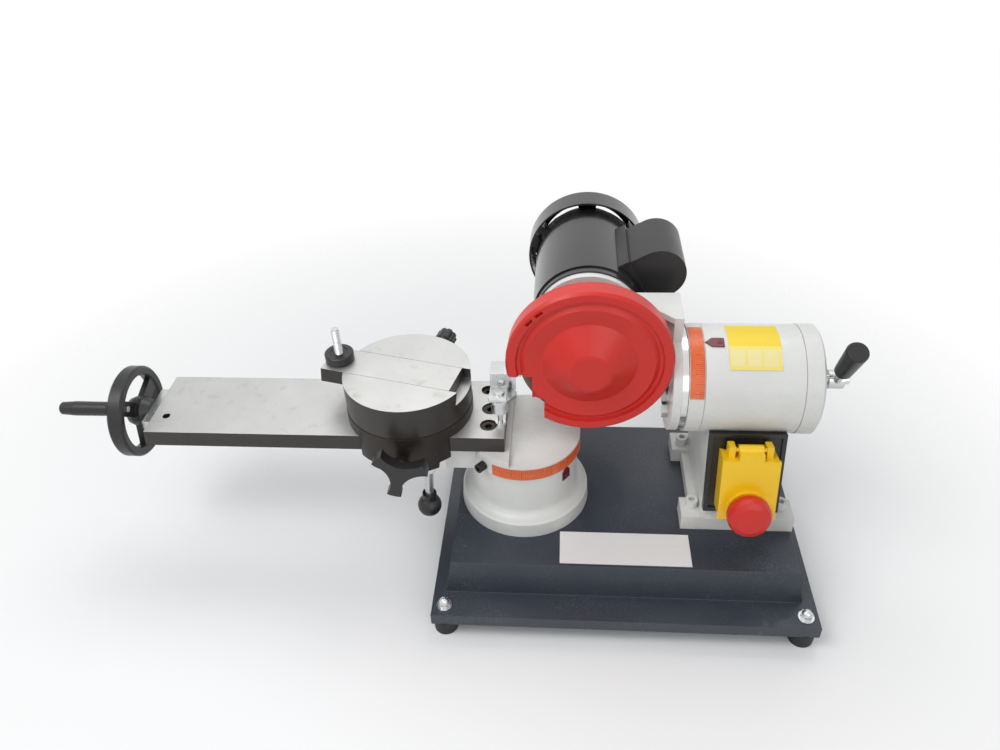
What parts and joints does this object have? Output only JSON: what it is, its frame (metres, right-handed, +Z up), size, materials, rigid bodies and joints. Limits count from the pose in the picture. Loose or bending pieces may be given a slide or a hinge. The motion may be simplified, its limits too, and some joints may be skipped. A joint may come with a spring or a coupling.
{
  "type": "sharpening_machine",
  "caption": "Bench saw-blade sharpening grinder with a swivelling blade carriage on a screw-fed slide bar, a tilting sliding grinding head, red wheel guard, black motor and yellow switch",
  "frame": {"origin": "centre of the overall footprint, on the floor", "axes": "+X runs from the handwheel to the hand lever, +Y to the motor's fan, +Z up"},
  "size_m": [0.7587, 0.3285, 0.3275],
  "materials": {
    "slate_paint": "satin sheet paint",
    "white_paint": "satin cast-iron paint",
    "white_label": "gloss",
    "black_rubber": "matte",
    "bright_steel": "ground",
    "zinc_plate": "bright zinc",
    "black_oxide": "black oxide",
    "black_plastic": "satin",
    "black_paint": "gloss",
    "orange_scale": "painted strip",
    "maroon_plate": "painted plate",
    "red_plastic": "gloss",
    "green_plastic": "gloss",
    "yellow_plastic": "gloss",
    "copper_winding": "varnished",
    "bronze": "machined",
    "abrasive": "bonded grit"
  },
  "bodies": {
    "base": {"base_tray": "slate_paint", "rubber_feet": "black_rubber", "foot_bolts": "zinc_plate", "name_plate": "white_label", "table_pedestal": "white_paint", "floor_bolts": "zinc_plate", "pointers": "maroon_plate", "head_column": "white_paint", "head_lock_screw": "black_oxide", "end_cap": "white_paint", "switch_unit": "yellow_plastic"},
    "table": {"rotary_table": "white_paint", "table_pivot_bolt": "bright_steel", "table_scale": "orange_scale", "table_lock_screw": "black_oxide", "slide_bar": "bright_steel", "bar_screws": "black_oxide", "screw_bearing": "zinc_plate", "stop_bracket": "zinc_plate", "stop_bolt": "zinc_plate"},
    "feed_wheel": {"lead_screw": "bright_steel", "handwheel": "black_plastic", "crank_pin": "zinc_plate"},
    "crank": {"crank_grip": "black_plastic"},
    "carriage": {"saddle": "black_oxide", "saddle_plate": "black_oxide", "feed_nut": "bronze", "turntable_bolt": "bright_steel"},
    "turntable": {"turntable": "bright_steel"},
    "strip": {"dovetail_strip": "bright_steel", "blade_stud": "zinc_plate"},
    "thumb_nut": {"thumb_nut": "black_plastic"},
    "star_knob": {"star_knob": "black_plastic"},
    "rear_knob": {"rear_knob": "black_plastic"},
    "clamp_lever": {"clamp_lever": "zinc_plate", "ball_knob": "black_plastic"},
    "finger": {"stop_finger": "zinc_plate"},
    "tilt": {"tilt_sleeve": "white_paint", "tilt_scale": "orange_scale"},
    "head": {"quill": "bright_steel", "motor_bracket": "white_paint", "bracket_bolts": "zinc_plate", "motor_shell": "black_paint", "end_shields": "black_paint", "bearings": "zinc_plate", "stator": "copper_winding", "fan_cover": "black_paint", "capacitor_box": "black_plastic", "capacitor": "zinc_plate", "operating_arm": "zinc_plate", "arm_grip": "black_plastic", "wheel_guard": "red_plastic", "motor_lead": "black_rubber"},
    "rotor": {"spindle": "bright_steel", "cooling_fan": "black_plastic", "grinding_wheel": "abrasive"},
    "start_button": {"start_button": "green_plastic"},
    "stop_button": {"stop_button": "red_plastic"},
    "flap": {"switch_flap": "yellow_plastic"},
    "mushroom": {"stop_mushroom": "red_plastic"}
  },
  "joints": [
    {"name": "table_swivel", "type": "hinge", "parent": "base", "child": "table", "pos_m": [0.0771, -0.02935, 0.14], "axis": [0, 0, 1], "range_deg": [-30, 30]},
    {"name": "handwheel_turn", "type": "hinge", "parent": "table", "child": "feed_wheel", "pos_m": [-0.2998, -0.02475, 0.1628], "axis": [1, 0, 0], "range_deg": [-17101, 271]},
    {"name": "crank_spin", "type": "hinge", "parent": "feed_wheel", "child": "crank", "pos_m": [-0.2998, -0.04742, 0.18394], "axis": [1, 0, 0], "continuous": true},
    {"name": "saddle_travel", "type": "slide", "parent": "table", "child": "carriage", "axis": [1, 0, 0], "range_m": [-0.19, 0.003]},
    {"name": "turntable_turn", "type": "hinge", "parent": "carriage", "child": "turntable", "pos_m": [-0.0339, -0.02475, 0.19], "axis": [0, 0, 1], "range_deg": [-45, 60]},
    {"name": "strip_slide", "type": "slide", "parent": "turntable", "child": "strip", "axis": [0.9703, -0.2419, 0], "range_m": [-0.04, 0.025]},
    {"name": "thumb_nut_turn", "type": "hinge", "parent": "strip", "child": "thumb_nut", "pos_m": [-0.10182, -0.00782, 0.222], "axis": [0, 0, 1], "continuous": true},
    {"name": "star_knob_turn", "type": "hinge", "parent": "carriage", "child": "star_knob", "pos_m": [-0.0339, -0.08775, 0.1623], "axis": [0, -1, 0], "range_deg": [-120, 60]},
    {"name": "rear_knob_turn", "type": "hinge", "parent": "turntable", "child": "rear_knob", "pos_m": [-0.00968, 0.03105, 0.2056], "axis": [0.2419, 0.9703, 0], "range_deg": [-180, 180]},
    {"name": "clamp_lever_turn", "type": "hinge", "parent": "carriage", "child": "clamp_lever", "pos_m": [-0.0139, -0.06715, 0.1353], "axis": [0, 1, 0], "range_deg": [-12, 30]},
    {"name": "finger_swing", "type": "hinge", "parent": "table", "child": "finger", "pos_m": [0.0561, -0.04675, 0.206], "axis": [0, 0, 1], "range_deg": [-35, 8], "stiffness_Nm_per_rad": 0.05},
    {"name": "head_tilt", "type": "hinge", "parent": "base", "child": "tilt", "pos_m": [0.2841, -0.01515, 0.2083], "axis": [1, 0, 0], "range_deg": [-20, 20]},
    {"name": "head_stroke", "type": "slide", "parent": "tilt", "child": "head", "axis": [1, 0, 0], "range_m": [-0.01, 0]},
    {"name": "spindle_spin", "type": "hinge", "parent": "head", "child": "rotor", "pos_m": [0.1381, 0.03225, 0.253], "axis": [0, -1, 0], "continuous": true},
    {"name": "start_press", "type": "slide", "parent": "base", "child": "start_button", "axis": [0, 0.9732, -0.23], "range_m": [0, 0.0015], "stiffness_N_per_m": 800},
    {"name": "stop_press", "type": "slide", "parent": "base", "child": "stop_button", "axis": [0, 0.9732, -0.23], "range_m": [0, 0.0015], "stiffness_N_per_m": 800},
    {"name": "flap_open", "type": "hinge", "parent": "base", "child": "flap", "pos_m": [0.2857, -0.07759, 0.17395], "axis": [-1, 0, 0], "range_deg": [0, 95]},
    {"name": "mushroom_press", "type": "slide", "parent": "flap", "child": "mushroom", "axis": [0, 0.9732, -0.23], "range_m": [0, 0.0026], "stiffness_N_per_m": 500}
  ],
  "couplings": [
    {"joint": "handwheel_turn", "follows": "saddle_travel", "rad_per_m": 1570.8}
  ]
}
